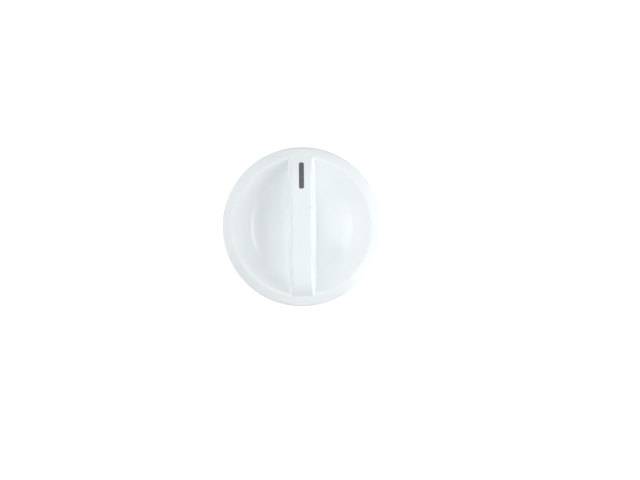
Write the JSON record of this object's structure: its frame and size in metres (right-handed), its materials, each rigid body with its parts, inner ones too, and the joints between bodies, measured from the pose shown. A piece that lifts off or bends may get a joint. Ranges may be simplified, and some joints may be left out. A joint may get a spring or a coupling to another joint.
{
  "type": "dishwasher timer knob",
  "caption": "Round white timer knob with a dished face, a raised grip bar with a dark pointer line, and a hub with a flatted shaft bore under the face.",
  "frame": {"origin": "on the shaft's axis, in the plane of the skirt's open edge, on which the knob lies face up", "axes": "+Z out of the face along the shaft's axis, +Y from the axis towards the pointer line"},
  "size_m": [0.057, 0.057, 0.0189],
  "materials": {
    "white_plastic": "glossy moulded white with a slight cool cast",
    "grey_paint": "dark grey paint wiped into the pointer groove"
  },
  "bodies": {
    "root": {"knob_body": "white_plastic", "pointer_mark": "grey_paint"}
  },
  "joints": []
}
